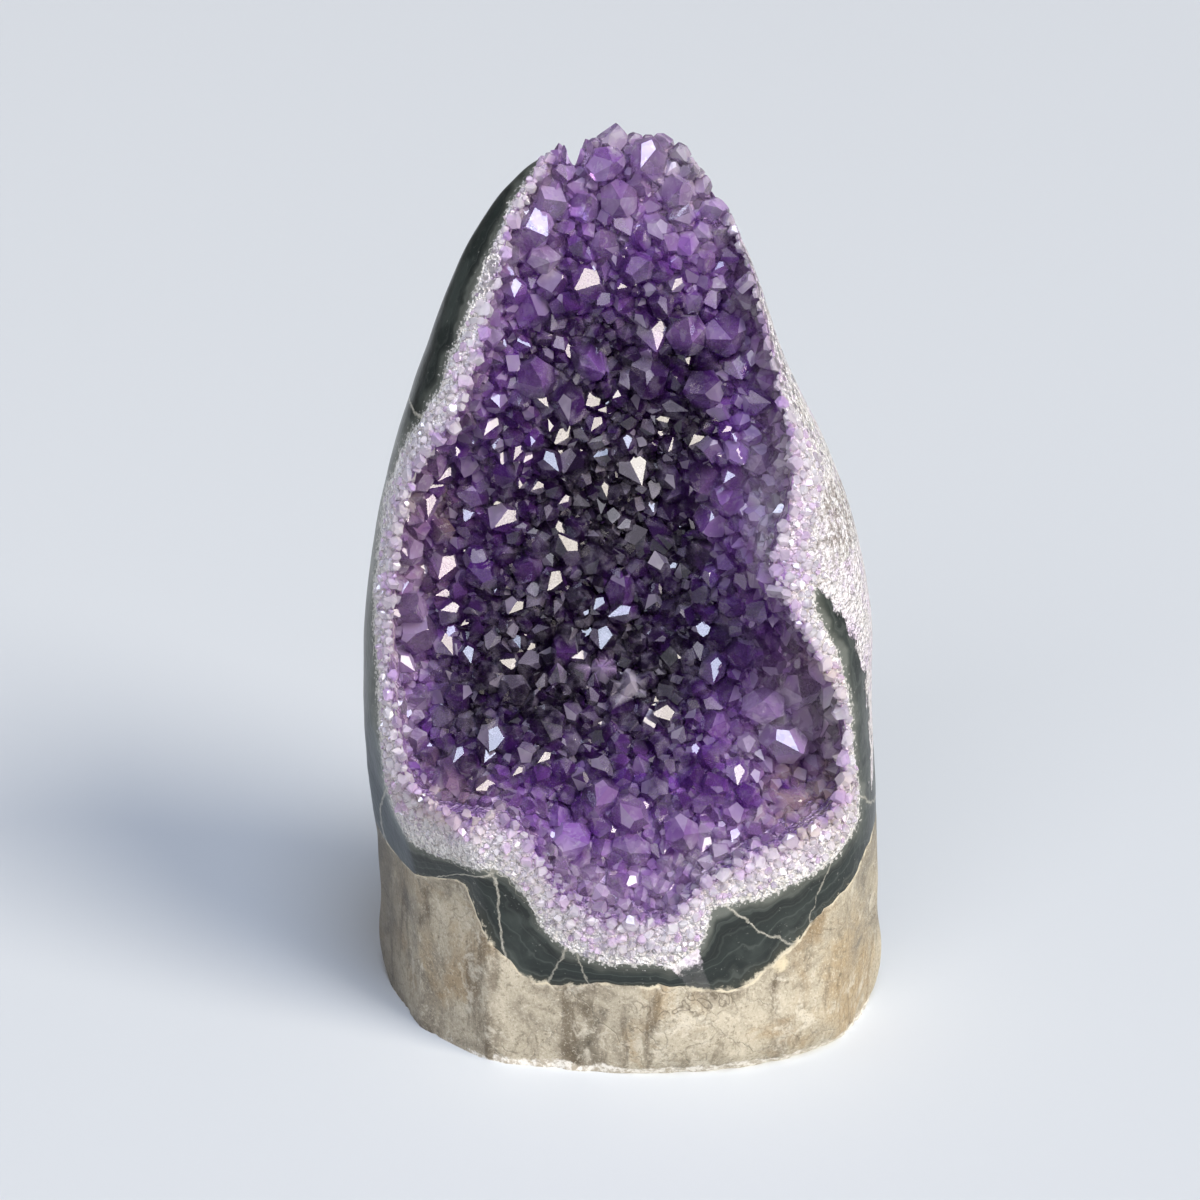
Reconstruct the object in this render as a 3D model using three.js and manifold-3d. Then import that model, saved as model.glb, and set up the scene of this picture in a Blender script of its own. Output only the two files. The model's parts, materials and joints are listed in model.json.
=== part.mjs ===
// An amethyst geode cut to stand on a sawn base: half of a long hollow nodule, ground smooth around its opening.
// From the outside in it is host basalt, a dark agate rind, a band of white quartz and a druse of amethyst points.
// Each layer is one closed solid. Neighbouring layers keep a fine seam, so none of them overlaps another.
//
// Millimetres. +X is to the right of someone who faces the hollow, -Y is the front and +Z is up.
import * as THREE from "three";
import { mergeVertices } from "three/addons/utils/BufferGeometryUtils.js";
import Module from "manifold-3d";

// Driving dimensions.
const HEIGHT = 165;
const SEAM = 0.3; // free space between one layer and the next
const ROUNDNESS = 2.4; // superellipse exponent of the stone's level sections: 2 is an ellipse, more is squarer
const HOLLOW_SQUARENESS = 2.6; // how steeply the hollow's wall drops inside its edge
const OPENING_DISH = 0.85; // how far the opening's sheet turns back towards the stone's widest line at its sides
const HOLLOW_CENTRE = { x: 0, z: 85 }; // the edges below are measured from here
const FRONT_CLEARANCE = 60; // how far in front of the stone a hollow's cutting body starts
const FOOT_CHAMFER = 1.2; // broken edge around the sawn base
const TAPER_LENGTH = 45; // the layers thin out over this length below the top
const TOP_LAYER = 5; // and would end this far above it

// Depths of the layers under the druse's own root surface.
const DRUSE_ROOT = 2.6; // thickness of the intergrown crystal roots
const QUARTZ_DEPTH = 4;
const AGATE_DEPTH = 8;

// The stone's sections: height, left edge, right edge, front, back, widest line, depth of the hollow.
const STONE_SECTIONS = [
  [0, -45.2, 48.8, -32.4, 33.4, 3, 0],
  [FOOT_CHAMFER, -46, 49.6, -33.2, 34.2, 3, 1],
  [20, -47.3, 49.9, -34, 36, 3, 8],
  [40, -48, 49, -33.5, 37, 3, 20],
  [60, -48.3, 47.6, -31, 36.5, 3, 26],
  [80, -47.4, 46.6, -27, 35.5, 4, 28],
  [95, -45, 43.3, -23, 34, 4.5, 27.5],
  [110, -41.2, 37.4, -18.5, 32, 5, 24],
  [125, -36, 30, -13.5, 29, 5.5, 20],
  [138, -31, 25.3, -9, 26, 6, 16],
  [148, -26, 20.8, -5, 22, 6.5, 13],
  [156, -20, 15.4, -1, 17.5, 7, 11],
  [161, -14.5, 11.2, 2, 13, 7, 10],
  [HEIGHT, -6, 6, 6, 8.4, 7, 9],
];

// Flats that the grinding left on the stone's sides: direction and half width in degrees, share of the radius taken off.
const FLATS = [
  [215, 30, 0.05],
  [325, 16, 0.02],
  [60, 25, 0.04],
];

// Edges of the layers around the opening, by direction in degrees from +X towards +Z, as distances from HOLLOW_CENTRE:
// where the crystals end, where the quartz meets the agate, and where the agate meets the basalt.
const EDGES = [
  [0, 30.5, 34, 52],
  [8, 28.5, 42, 50],
  [18, 28, 45.5, 48.5],
  [32, 35, 45, 47.5],
  [48, 44, 48, 50],
  [62, 54.5, 57, 59.5],
  [76, 71, 73, 75],
  [90, 84, 87, 90],
  [104, 71, 73, 78],
  [116, 54, 59, 68],
  [132, 43.5, 49, 55.5],
  [148, 43, 46.5, 50],
  [164, 41.3, 45, 48.5],
  [182, 41.3, 45.7, 50],
  [198, 43.3, 48.7, 52],
  [212, 46.7, 54, 58],
  [222, 50, 59.5, 64],
  [231, 45, 59, 64.5],
  [239, 40.5, 53.3, 57.5],
  [247, 42.5, 49.5, 64],
  [256, 47.5, 55.5, 69.5],
  [266, 52, 62.3, 67.5],
  [278, 53, 62, 67],
  [289, 48.5, 57.5, 70.5],
  [300, 48.3, 58.3, 65.7],
  [311, 51, 62, 66],
  [322, 53.5, 57.5, 63],
  [336, 44.5, 46.8, 54],
  [350, 35, 38.5, 51.5],
];
const [CRYSTAL_EDGE, QUARTZ_EDGE, AGATE_EDGE] = [0, 1, 2];

// Swells of the hollow's floor: x, z, half width, half height, rise towards the front.
const SWELLS = [
  [3, 44, 17, 10, 7], // bank behind the front lip
  [31, 62, 9, 9, 5], // shelf at the lower right
  [21, 112, 5, 15, 6], // upright ridge at the right
  [-22, 118, 9, 8, 3],
  [6, 141, 9, 7, 3],
  [-14, 70, 10, 8, -3], // pocket left of the middle
  [10, 92, 9, 10, -3],
];

// The druse's own crystals.
const CRYSTAL_SPACING = 9.3;
const CRYSTAL_RADIUS = [4, 6.4];
const CRYSTAL_STAND = [0.3, 0.8]; // height of a crystal's shoulder over its root surface, in radii
const CRYSTAL_TIP = 1.15; // height of the six-sided point, in radii
const CRYSTAL_LEAN = 0.55; // most that a crystal leans from the floor's normal, in radians

// Mesh densities.
const STONE_SIDES = 44;
const STONE_TIERS = 18;
const HOLLOW_SIDES = 36;
const HOLLOW_RINGS = [0.5, 0.8, 0.95];

const degrees = THREE.MathUtils.degToRad;
const wasm = await Module();
wasm.setup();

// A closed three.js geometry as a solid that can be joined and cut.
function solidOf(geometry) {
  const shape = geometry.clone();
  shape.deleteAttribute("normal");
  shape.deleteAttribute("uv");
  const merged = mergeVertices(shape, 1e-4);
  return new wasm.Manifold(
    new wasm.Mesh({
      numProp: 3,
      vertProperties: merged.attributes.position.array,
      triVerts: new Uint32Array(merged.index.array),
    }),
  );
}

// A solid as a mesh with flat faces. Splinters that a cut left loose are dropped.
function meshOf(solid, name, look) {
  const [body] = solid.decompose().sort((a, b) => b.volume() - a.volume());
  const { vertProperties, triVerts } = body.getMesh();
  const geometry = new THREE.BufferGeometry()
    .setAttribute("position", new THREE.BufferAttribute(vertProperties, 3))
    .setIndex(new THREE.BufferAttribute(triVerts, 1));
  geometry.computeVertexNormals();
  const mesh = new THREE.Mesh(geometry, new THREE.MeshStandardMaterial({ ...look, flatShading: true }));
  mesh.name = name;
  return mesh;
}

// Moves every vertex of a geometry to the point that place returns for it.
function reshape(geometry, place) {
  const position = geometry.attributes.position;
  const vertex = new THREE.Vector3();
  for (let i = 0; i < position.count; i++) {
    place(vertex.fromBufferAttribute(position, i));
    position.setXYZ(i, vertex.x, vertex.y, vertex.z);
  }
  return geometry;
}

const sections = new THREE.CubicInterpolant(
  STONE_SECTIONS.map((row) => row[0]),
  STONE_SECTIONS.flatMap((row) => row.slice(1)),
  STONE_SECTIONS[0].length - 1,
);

// The stone's section at a height.
function sectionAt(height) {
  const [left, right, front, back, widest, hollow] = sections.evaluate(THREE.MathUtils.clamp(height, 0, HEIGHT));
  return { middle: (left + right) / 2, halfWidth: (right - left) / 2, front, back, widest, hollow };
}

// How much of the radius is left in a direction, past the ground flats.
function flattened(angle) {
  return FLATS.reduce((share, [at, width, taken]) => {
    const away = THREE.MathUtils.euclideanModulo(THREE.MathUtils.radToDeg(angle) - at + 180, 360) - 180;
    return share - taken * Math.exp(-((away / width) ** 2));
  }, 1);
}

// The whole nodule before it was hollowed: stacked superellipse sections on a flat sawn base.
function stone() {
  const spread = (c) => Math.sign(c) * Math.abs(c) ** (2 / ROUNDNESS);
  const drum = new THREE.CylinderGeometry(1, 1, 1, STONE_SIDES, STONE_TIERS).rotateX(Math.PI / 2);
  return solidOf(
    reshape(drum, (v) => {
      const tier = Math.round((v.z + 0.5) * STONE_TIERS);
      const climb = Math.sin((((tier - 1) / (STONE_TIERS - 1)) * Math.PI) / 2);
      const height = tier === 0 ? 0 : FOOT_CHAMFER + (HEIGHT - FOOT_CHAMFER) * climb;
      const s = sectionAt(height);
      const angle = Math.atan2(v.y, v.x);
      const share = Math.hypot(v.x, v.y) * flattened(angle);
      const along = spread(Math.sin(angle)) * share;
      v.x = s.middle + spread(Math.cos(angle)) * share * s.halfWidth;
      v.y = s.widest + along * (along > 0 ? s.back - s.widest : s.widest - s.front);
      v.z = height;
    }),
  );
}

// The edges as smooth closed curves, read by direction. The end rows are repeated a turn away.
const turned = (rows, turn) => rows.map(([angle, ...radii]) => [angle + turn, ...radii]);
const edgeRows = [...turned(EDGES.slice(-2), -360), ...EDGES, ...turned(EDGES.slice(0, 2), 360)];
const edges = new THREE.CubicInterpolant(
  edgeRows.map((row) => degrees(row[0])),
  edgeRows.flatMap((row) => row.slice(1)),
  EDGES[0].length - 1,
);
const edgeRadius = (layer, angle) => edges.evaluate(THREE.MathUtils.euclideanModulo(angle, 2 * Math.PI))[layer];

// The druse's root surface: how far back the hollow's floor lies at x, z, where share is 0 at the centre and 1 at the edge.
function floorY(x, z, share) {
  const s = sectionAt(z);
  const across = Math.min(Math.abs((x - s.middle) / s.halfWidth), 1.15);
  const opening = s.front + (s.widest - s.front) * OPENING_DISH * across ** 3;
  const bowl = Math.max(0, 1 - share ** HOLLOW_SQUARENESS) ** (1 / HOLLOW_SQUARENESS);
  const swell = SWELLS.reduce(
    (sum, [sx, sz, halfX, halfZ, rise]) =>
      sum + rise * Math.exp(-(((x - sx) / halfX) ** 2) - ((z - sz) / halfZ) ** 2),
    0,
  );
  return opening + bowl * (s.hollow - swell);
}

// A body that fills the hollow down to a depth under the druse's root surface and runs out through the front.
// Its edge is the layer's. lining is a thickness that is kept free all round inside it.
function hollow(layer, depth, lining = 0) {
  const ON_FLOOR = 0;
  const IN_FRONT = 1;
  const profile = [0, ...HOLLOW_RINGS, 1].map((r) => new THREE.Vector2(r, ON_FLOOR));
  profile.push(new THREE.Vector2(1, IN_FRONT), new THREE.Vector2(0, IN_FRONT));
  const disc = new THREE.LatheGeometry(profile, HOLLOW_SIDES).rotateX(Math.PI);
  return solidOf(
    reshape(disc, (v) => {
      const share = Math.hypot(v.x, v.z);
      const inFront = v.y < -IN_FRONT / 2;
      const angle = Math.atan2(v.z, v.x);
      const edge = edgeRadius(layer, angle) - lining;
      v.x = HOLLOW_CENTRE.x + v.x * edge;
      v.z = HOLLOW_CENTRE.z + v.z * edge;
      const thinning = THREE.MathUtils.clamp((HEIGHT + TOP_LAYER - v.z) / TAPER_LENGTH, 0, 1);
      v.y = inFront ? -FRONT_CLEARANCE : floorY(v.x, v.z, share) + depth * thinning - lining;
    }),
  );
}

// Repeatable draws between 0 and 1.
function seededRandom(seed) {
  let state = seed;
  return () => {
    state = (Math.imul(state, 1664525) + 1013904223) >>> 0;
    return state / 2 ** 32;
  };
}

// One six-sided quartz point: a prism with its root below the origin and its tip on +Z.
function quartzPoint(radius, shoulder) {
  const profile = [
    new THREE.Vector2(0, -DRUSE_ROOT),
    new THREE.Vector2(radius * 0.8, -DRUSE_ROOT),
    new THREE.Vector2(radius, shoulder),
    new THREE.Vector2(0, shoulder + radius * CRYSTAL_TIP),
  ];
  return new THREE.LatheGeometry(profile, 6).rotateX(Math.PI / 2);
}

// Crystals over the hollow's floor, a little closer than their own width, so that all of them are intergrown.
function crystals() {
  const random = seededRandom(7);
  const between = ([low, high], bias = 1) => low + (high - low) * random() ** bias;
  const grown = [];
  const reach = 90;
  for (let z = -reach; z < reach; z += CRYSTAL_SPACING * 0.9) {
    for (let x = -reach; x < reach; x += CRYSTAL_SPACING * 1.2) {
      const here = new THREE.Vector2(x + (random() - 0.5) * CRYSTAL_SPACING, z + (random() - 0.5) * CRYSTAL_SPACING);
      const radius = between(CRYSTAL_RADIUS, 1.8);
      const shoulder = radius * between(CRYSTAL_STAND);
      const lean = [random() - 0.5, random() - 0.5, random() * Math.PI];
      const share = here.length() / edgeRadius(CRYSTAL_EDGE, here.angle());
      if (share > 0.93) continue;
      const at = new THREE.Vector3(HOLLOW_CENTRE.x + here.x, 0, HOLLOW_CENTRE.z + here.y);
      const step = 1.5;
      const floorAt = (dx, dz) => {
        const offset = new THREE.Vector2(here.x + dx, here.y + dz);
        const there = Math.min(1, offset.length() / edgeRadius(CRYSTAL_EDGE, offset.angle()));
        return floorY(at.x + dx, at.z + dz, there);
      };
      at.y = floorAt(0, 0);
      const normal = new THREE.Vector3(
        (floorAt(step, 0) - floorAt(-step, 0)) / (2 * step),
        -1,
        (floorAt(0, step) - floorAt(0, -step)) / (2 * step),
      ).normalize();
      normal.x += lean[0] * CRYSTAL_LEAN;
      normal.z += lean[1] * CRYSTAL_LEAN;
      const stand = new THREE.Quaternion().setFromUnitVectors(new THREE.Vector3(0, 0, 1), normal.normalize());
      const turn = new THREE.Quaternion().setFromAxisAngle(new THREE.Vector3(0, 0, 1), lean[2]);
      const place = new THREE.Matrix4().compose(at, stand.multiply(turn), new THREE.Vector3(1, 1, 1));
      grown.push(solidOf(quartzPoint(radius, shoulder).applyMatrix4(place)));
    }
  }
  return grown.reduce((all, crystal) => all.add(crystal));
}

const whole = stone();

function basalt() {
  return whole.subtract(hollow(AGATE_EDGE, AGATE_DEPTH));
}

function agate() {
  return whole.intersect(hollow(AGATE_EDGE, AGATE_DEPTH, SEAM)).subtract(hollow(QUARTZ_EDGE, QUARTZ_DEPTH));
}

function quartz() {
  return whole.intersect(hollow(QUARTZ_EDGE, QUARTZ_DEPTH, SEAM)).subtract(hollow(CRYSTAL_EDGE, 0));
}

// The crystals' roots make one layer, and the ground face cuts whatever stands past it.
function druse() {
  const room = hollow(CRYSTAL_EDGE, 0, SEAM);
  const roots = room.subtract(hollow(CRYSTAL_EDGE, 0, DRUSE_ROOT));
  return crystals().intersect(room).add(roots).intersect(whole);
}

const geode = new THREE.Group();
geode.add(
  meshOf(basalt(), "basalt_matrix", { color: 0x8c8272, roughness: 0.6, metalness: 0 }),
  meshOf(agate(), "agate_rind", { color: 0x2b332e, roughness: 0.3, metalness: 0 }),
  meshOf(quartz(), "quartz_band", { color: 0xe4e0e2, roughness: 0.35, metalness: 0 }),
  meshOf(druse(), "amethyst_druse", { color: 0x4b2a73, roughness: 0.08, metalness: 0 }),
);

// The origin is at the middle of the base.
const box = new THREE.Box3().setFromObject(geode);
geode.position.set(-(box.min.x + box.max.x) / 2, -(box.min.y + box.max.y) / 2, -box.min.z);

export default geode;
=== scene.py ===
# Looks for the amethyst geode: host basalt, agate rind, quartz band and the druse of amethyst points.
# Lengths in the dictionaries are millimetres of a geode as high as stone["height"].
# The frame's own height scales them.
import json
import math
import random

import bmesh
import bpy
import numpy as np
from mathutils import Matrix, Vector, noise
from mathutils.kdtree import KDTree

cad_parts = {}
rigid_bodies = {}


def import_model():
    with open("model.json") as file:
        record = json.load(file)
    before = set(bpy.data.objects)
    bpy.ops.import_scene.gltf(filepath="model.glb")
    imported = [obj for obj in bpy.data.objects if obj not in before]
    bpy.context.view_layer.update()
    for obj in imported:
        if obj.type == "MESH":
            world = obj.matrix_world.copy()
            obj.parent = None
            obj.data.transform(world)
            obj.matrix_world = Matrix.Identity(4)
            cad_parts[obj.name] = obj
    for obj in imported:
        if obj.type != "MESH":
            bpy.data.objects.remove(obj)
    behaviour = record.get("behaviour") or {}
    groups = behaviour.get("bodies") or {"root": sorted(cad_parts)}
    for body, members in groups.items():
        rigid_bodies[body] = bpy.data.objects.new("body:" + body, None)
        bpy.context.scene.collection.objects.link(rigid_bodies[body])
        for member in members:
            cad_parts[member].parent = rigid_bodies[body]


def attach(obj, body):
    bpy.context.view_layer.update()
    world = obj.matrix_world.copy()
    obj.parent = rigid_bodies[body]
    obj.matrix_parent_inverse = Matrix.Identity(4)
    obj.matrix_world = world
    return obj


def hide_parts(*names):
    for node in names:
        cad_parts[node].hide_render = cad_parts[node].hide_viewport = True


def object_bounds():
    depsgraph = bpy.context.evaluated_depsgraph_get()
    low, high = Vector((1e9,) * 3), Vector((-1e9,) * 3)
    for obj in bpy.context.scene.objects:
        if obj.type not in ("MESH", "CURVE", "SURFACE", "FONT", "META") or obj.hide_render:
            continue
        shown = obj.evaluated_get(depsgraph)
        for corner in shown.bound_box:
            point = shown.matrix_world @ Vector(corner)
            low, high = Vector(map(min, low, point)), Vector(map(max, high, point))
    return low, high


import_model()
frameBox = [list(corner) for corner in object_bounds()]
frameLow, frameHigh = (Vector(corner) for corner in frameBox)

stone = {
    "height": 165.0,
    "roundness": 2.4,  # superellipse exponent of the level sections
    "sides": 300,
    "tiers": 230,
    "crowding": 1.45,  # how much the tiers crowd towards the top
    # height, left edge, right edge, front, back, widest line, depth of the hollow
    "sections": [
        (0, -45.2, 48.8, -32.4, 33.4, 3, 0),
        (1.2, -46, 49.6, -33.2, 34.2, 3, 1),
        (20, -47.3, 49.9, -34, 36, 3, 8),
        (40, -48, 49, -33.5, 37, 3, 20),
        (60, -48.3, 47.6, -31, 36.5, 3, 26),
        (80, -47.4, 46.6, -27, 35.5, 4, 28),
        (95, -45, 43.3, -23, 34, 4.5, 27.5),
        (110, -41.2, 37.4, -18.5, 32, 5, 24),
        (125, -36, 30, -13.5, 29, 5.5, 20),
        (138, -31, 25.3, -9, 26, 6, 16),
        (148, -26, 20.8, -5, 22, 6.5, 13),
        (156, -20, 15.4, -1, 17.5, 7, 11),
        (161, -13.5, 12, 2, 13, 7, 10),
        (165, -2.5, 6.5, 6, 8.4, 7, 9),
    ],
    # flats of the sawn foot: direction in degrees, distance from the middle
    "flats": [(203, 40.8), (226, 37.3), (258, 32.7), (311, 45.6), (335, 46.8), (60, 46), (120, 41)],
    "flatsFade": (30, 62),  # heights over which the flats run out into the round
    "flatsRecede": 6,  # how far out they have moved by the upper one
    "grinding": 0.22,  # height of the shallow waves that the grinding left
    "chips": 0.9,  # depth of the chips around the sawn base
    "chipsUpTo": 2.6,
    "chipSize": 3.0,
    "chippedAt": -138,  # direction where the chips are deepest, in degrees
    "notch": (-8.3, 1.5, 4.0),  # beside the left crest of the top: x, half width, depth
    "notchFrom": 154,
}

hollow = {
    "centre": (0.0, 85.0),  # x and z that the edges are measured from
    "squareness": 2.6,
    "dish": 0.85,
    "front": -60.0,
    "quartzDepth": 4.0,
    "agateDepth": 8.0,
    "topLayer": 5.0,
    "taperLength": 45.0,
    "sides": 480,
    "rings": (16, 16, 60),  # of the agate's, the quartz's and the crystals' floor
    "floorRough": 0.5,
    # waviness of the edges of the crystals, the quartz and the agate: coarse and small waves
    "waves": [(0.5, 0.5), (0.7, 0.45), (0.7, 0.6)],
    # direction in degrees from +X to +Z, and the edge of the crystals, the quartz and the agate
    "edges": [
        (0, 30.5, 34.4, 52),
        (6, 28.8, 35.5, 50.5),
        (11, 28, 45, 50),
        (18, 28, 46.5, 48.8),
        (32, 35, 45, 47.5),
        (48, 44, 48, 50),
        (62, 54.5, 57, 59.5),
        (76, 71, 73, 75),
        (90, 84, 87, 90),
        (104, 71, 73, 78),
        (116, 54, 59, 68),
        (132, 43.5, 49, 55.5),
        (148, 43, 46.5, 50),
        (164, 41.3, 45, 48.5),
        (182, 41.3, 44.6, 50),
        (198, 43.3, 46.6, 53.5),
        (212, 46.7, 51.5, 61),
        (222, 50, 58, 68),
        (228, 47.5, 60, 69.8),
        (233, 44, 58, 67.5),
        (237, 41.5, 54.5, 61.5),
        (240, 40.5, 52.5, 57.8),
        (244, 41, 50, 60.5),
        (248, 43, 51.2, 64.5),
        (252, 45.5, 54.2, 66.5),
        (256, 48, 57.8, 69),
        (263, 51.5, 62, 67.6),
        (271, 53, 62, 66.3),
        (280, 53.3, 62.2, 68),
        (284, 51, 60, 69.5),
        (288, 49, 54.5, 71.2),
        (292, 48.3, 55, 70.3),
        (300, 48.3, 57.5, 67.3),
        (309, 50.5, 60, 67),
        (316, 53, 60.5, 66.3),
        (325, 49.6, 52, 67),
        (336, 43, 45.4, 63),
        (347, 35.2, 39.6, 58),
        (354, 32.2, 36.6, 53),
    ],
    # the outside of the dark stripe at the right, past which the agate turns back into pale quartz
    "stripe": [
        (-48, 72),
        (-41, 61.5),
        (-35, 56.4),
        (-26, 50.6),
        (-17, 45.4),
        (-9, 41.7),
        (-1.5, 38),
        (5, 34.8),
        (12, 33),
    ],
    # height and y of the line at the right side where the pale quartz ends towards the back
    "patchBack": [
        (40, -14),
        (50, -6),
        (60, 3),
        (72, 10),
        (84, 15),
        (96, 18.2),
        (108, 17),
        (120, 14.5),
        (135, 13.5),
        (165, 11.5),
    ],
    # stains on the quartz: x, z, half width, half height, strength
    "rust": [(40, 98, 7, 9, 0.8), (36, 47, 7, 6, 0.9), (-36, 48, 6, 5, 0.6)],
    # swells of the floor: x, z, half width, half height, rise
    "swells": [
        (3, 44, 17, 10, 7),
        (31, 62, 9, 9, 5),
        (21, 112, 5, 15, 6),
        (-22, 118, 9, 8, 3),
        (6, 141, 9, 7, 3),
        (-14, 70, 10, 8, -3),
        (10, 92, 9, 10, -3),
    ],
}

# marks on the front of the basalt: x, z, half width, half height, strength
basaltMarks = {
    "cream": [(29, 21, 2.2, 3.4, 0.95), (-43, 26, 2, 2.4, 0.6)],
    "ochre": [(43, 15, 9, 22, 0.75), (-36, 16, 4, 14, 0.7), (-30, 4, 6, 6, 0.4)],
    "streak": [(-25, 14, 3.5, 11, 1.2), (-8, 8, 4, 9, 0.5), (14, 3, 10, 4, 0.4)],
    "bubbles": [(8, 14.5, 11, 2.4, 1.0), (17, 16, 6, 2.2, 0.8)],
}

druse = {
    "seed": 11,
    "shapes": 48,
    "uneven": (0.06, 0.2, 0.45),  # of the six faces of a point, in half widths, by turns
    # groups of crystals that stand out:
    # x, z, half width, half height, how many, their half width, place in the tones
    "groups": [
        (1, 45, 14, 5, 5, 4.1, 2.7),  # violet, on the lip
        (-15, 149, 4, 6, 3, 3.8, 3.6),  # pale, beside the left crest
        (4, 158, 8, 6, 4, 4.1, 2.8),  # the apex
        (12, 131, 7, 4, 3, 4.3, 2.6),
        (-11, 124, 8, 8, 2, 3.9, 2.4),
        (-38, 90, 2.5, 20, 3, 3.9, 3.2),  # the left rim
        (18, 101, 3, 8, 3, 3.8, 2.7),  # the right wall
        (31, 61, 7, 5, 5, 4.2, 3.6),  # lilac, at the lower right
        (-10, 80, 10, 10, 3, 3.8, 1.5),  # dark, in the depth, as painted shade
        (0, 68, 4, 5, 2, 3.3, 3.8),  # nearly clear
    ],
    # half width, how many at most, spacing as a share of the summed half widths
    "sizes": [(3.5, 26, 0.95), (2.75, 190, 0.72), (2.15, 520, 0.62), (1.6, 900, 0.56), (1.15, 900, 0.55)],
    "mostTries": 9000,  # places looked at for each size
    "lean": 0.33,
    "mostLean": 0.62,
    "floorEnd": 0.985,  # share of the way to the crystals' edge at which they end
    "largeEnd": 0.88,  # the same for the largest
    "shortAbove": 150,
    "forward": 1.7,  # how far crystals on the steep wall turn out to the front
    "long": 3.3,  # from the shoulder down, in half widths
    "short": 1.5,  # the same for the fine points on the quartz band
    "turned": 0.13,  # chance that a crystal of half width 2 is turned so that a face catches a light
    "turnedFrom": 1.7,  # half width
    "turnTries": 24,
    "toWindow": 0.45,  # share of those that catch the window light
    "stand": (0.4, 1.2),  # shoulder over the root surface, in half widths
    # the fine points on the quartz band, as above
    "rimSizes": [(1.5, 170, 0.85), (1.05, 700, 0.72), (0.7, 1500, 0.68)],
    "rimStand": (-0.15, 0.5),
    "rimLean": 0.55,
    "rimReach": 0.86,  # how far they go across the quartz band
    "rimWidth": 8.0,  # and at most
    "highest": 164.0,  # of the roots
    "pastGround": 1.0,  # how far the fine points stand past the ground surface at the front
    "underWall": 1.2,  # how far under the back wall the crystals are cut
    "overTop": 6.0,  # how far crystals may stand past the ground surface at the very top
    "overTopFrom": 146,
    # painted shade: where the druse is darkest, deep in the hollow: x, z, half width, half height, strength
    "shade": [
        (0, 96, 22, 26, 1.15),
        (-20, 66, 17, 16, 1.0),
        (8, 66, 17, 10, 0.75),
        (-30, 52, 9, 6, 0.6),
        (31, 51, 8, 5, 0.7),
        (14, 116, 10, 10, 0.55),
        (-4, 128, 12, 8, 0.4),
    ],
    # where it is palest, partly paler crystals and partly painted light where the light falls, and where iron
    # stains it brown
    "paleAndLit": [
        (33, 61, 13, 11, 2.0),
        (24, 102, 8, 18, 1.5),
        (4, 152, 16, 12, 0.6),
        (2, 38, 20, 8, 0.45),
        (-38, 72, 5, 26, 0.5),
        (8, 160, 9, 5, 0.2),
        (-13, 152, 5, 8, 0.5),
    ],
    "iron": [
        (33, 49, 8, 5, 0.8),
        (-33, 96, 5, 6, 0.6),
        (-34, 84, 4, 6, 0.5),
        (-30, 50, 8, 4, 0.6),
        (38, 72, 6, 4, 0.5),
    ],
    "tones": ["#221530", "#4f2b6c", "#8654aa", "#b78fcc", "#e2cfe8", "#fbf6f9"],
}

# pale veins across the agate: direction in degrees, half width, lean in degrees over the agate's depth
veins = [
    (141.0, 0.3, 6.0),
    (226.0, 0.25, 9.0),
    (240.0, 0.3, -8.0),
    (247.5, 0.35, 9.0),
    (259.8, 0.15, -1.5),
    (264.0, 0.15, 2.5),
    (281.0, 2.4, 1.5),
    (294.0, 0.25, 7.0),
    (305.0, 0.15, -9.0),
    (318.0, 0.15, -4.0),
]

studio = {
    "table": "#d4d8d8",
    "tableRoughness": 0.6,
    "tableReach": 20.0,  # metres from the middle to its edges
    "air": "#c9c8c6",
    "airStrength": 0.17,
    "exposure": 0.05,
}

# soft lights: name, direction to it, angle it fills in degrees, strength, colour,
# and whether it only shows in reflections
lights = [
    ("key", (0.72, -0.55, 0.6), 30, 3.1, "#fff6ea", False),
    ("window", (0.12, -0.4, 0.9), 27, 1.9, "#cbdaf8", False),
    ("fill", (-0.35, -0.85, 0.45), 35, 1.0, "#f4eef4", False),
    ("ceiling", (0.3, -0.7, 1.0), 45, 2.3, "#e6e6f0", True),
    ("left wall", (-0.9, -0.6, 0.35), 45, 1.2, "#ded8e6", True),
]
# degrees, and millimetres of the same geode
viewpoint = {"pitch": 18, "fieldOfView": 30, "aim": (-3.7, 0, 80.5), "distance": 415.6}
cameraPitch = math.radians(viewpoint["pitch"])
toCamera = Vector((0, -math.cos(cameraPitch), math.sin(cameraPitch)))
# a face with one of these normals mirrors the key or the window to the camera
glints = [(Vector(toward).normalized() + toCamera).normalized() for _, toward, *_ in lights[:2]]

unit = (frameHigh.z - frameLow.z) / stone["height"]


def smoothThrough(rows):
    # columns as smooth curves over the first column
    table = np.array(rows, float)
    where, values = table[:, 0], table[:, 1:]
    slopes = np.gradient(values, where, axis=0)

    def at(place):
        place = np.clip(np.asarray(place, float), where[0], where[-1])
        i = np.clip(np.searchsorted(where, place, side="right") - 1, 0, len(where) - 2)
        span = where[i + 1] - where[i]
        t = ((place - where[i]) / span)[..., None]
        span = span[..., None]
        return (
            (1 + 2 * t) * (1 - t) ** 2 * values[i]
            + t * (1 - t) ** 2 * span * slopes[i]
            + t * t * (3 - 2 * t) * values[i + 1]
            + t * t * (t - 1) * span * slopes[i + 1]
        )

    return at


sectionAt = smoothThrough(stone["sections"])
edgeRows = hollow["edges"]
turnBefore = [(row[0] - 360, *row[1:]) for row in edgeRows[-3:]]
turnAfter = [(row[0] + 360, *row[1:]) for row in edgeRows[:3]]
edgeAt = smoothThrough(turnBefore + edgeRows + turnAfter)
stripeAt = smoothThrough(hollow["stripe"])
patchBackAt = smoothThrough(hollow["patchBack"])
crystalEdge, quartzEdge, agateEdge = 0, 1, 2


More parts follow.
